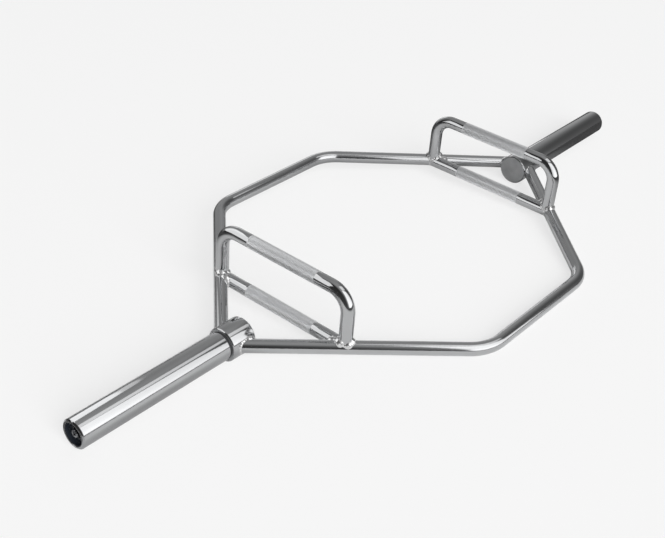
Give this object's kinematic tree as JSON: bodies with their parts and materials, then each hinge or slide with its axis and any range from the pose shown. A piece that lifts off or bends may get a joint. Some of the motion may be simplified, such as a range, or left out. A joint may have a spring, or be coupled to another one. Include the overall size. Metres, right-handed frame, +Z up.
{
  "type": "hex trap bar",
  "caption": "Chromed hexagonal trap bar with turning plate sleeves, stop collars, and low and raised knurled handles either side of the lifter.",
  "frame": {"origin": "under the middle of the bar, level with the lowest line of the stop collars", "axes": "+X along the sleeves towards the right sleeve, +Y across the frame towards the rear bar, +Z up"},
  "size_m": [1.52, 0.656, 0.1443],
  "materials": {
    "frame_chrome": "bright chrome plate on bent steel bar",
    "handle_chrome": "bright chrome plate, satin where knurled",
    "collar_chrome": "bright chrome plate on turned steel",
    "sleeve_chrome": "bright chrome plate on polished tube",
    "weld_metal": "plated weld beads, rippled",
    "axle_steel": "ground steel",
    "keeper_steel": "black oxide",
    "screw_steel": "zinc plated",
    "bush_bronze": "sintered bronze",
    "black_nylon": "black nylon",
    "black_plastic": "moulded black plastic"
  },
  "bodies": {
    "frame": {"frame_bar_front": "frame_chrome", "frame_bar_rear": "frame_chrome", "low_handle_left": "handle_chrome", "high_handle_left": "handle_chrome", "low_handle_right": "handle_chrome", "high_handle_right": "handle_chrome", "collar_left": "collar_chrome", "collar_right": "collar_chrome", "collar_welds_left": "weld_metal", "handle_welds_left": "weld_metal", "collar_welds_right": "weld_metal", "handle_welds_right": "weld_metal", "axle_left": "axle_steel", "axle_right": "axle_steel", "keeper_washer_left": "keeper_steel", "keeper_washer_right": "keeper_steel", "end_screw_left": "screw_steel", "end_screw_right": "screw_steel", "thrust_washer_left": "black_nylon", "thrust_washer_right": "black_nylon"},
    "left_sleeve_assembly": {"sleeve_left": "sleeve_chrome", "inner_bush_left": "bush_bronze", "outer_bush_left": "bush_bronze", "end_cap_left": "black_plastic"},
    "right_sleeve_assembly": {"sleeve_right": "sleeve_chrome", "inner_bush_right": "bush_bronze", "outer_bush_right": "bush_bronze", "end_cap_right": "black_plastic"}
  },
  "joints": [
    {"name": "left_sleeve_spin", "type": "hinge", "parent": "frame", "child": "left_sleeve_assembly", "pos_m": [-0.6106, 0, 0.03], "axis": [1, 0, 0], "continuous": true},
    {"name": "right_sleeve_spin", "type": "hinge", "parent": "frame", "child": "right_sleeve_assembly", "pos_m": [0.6106, 0, 0.03], "axis": [1, 0, 0], "continuous": true}
  ]
}
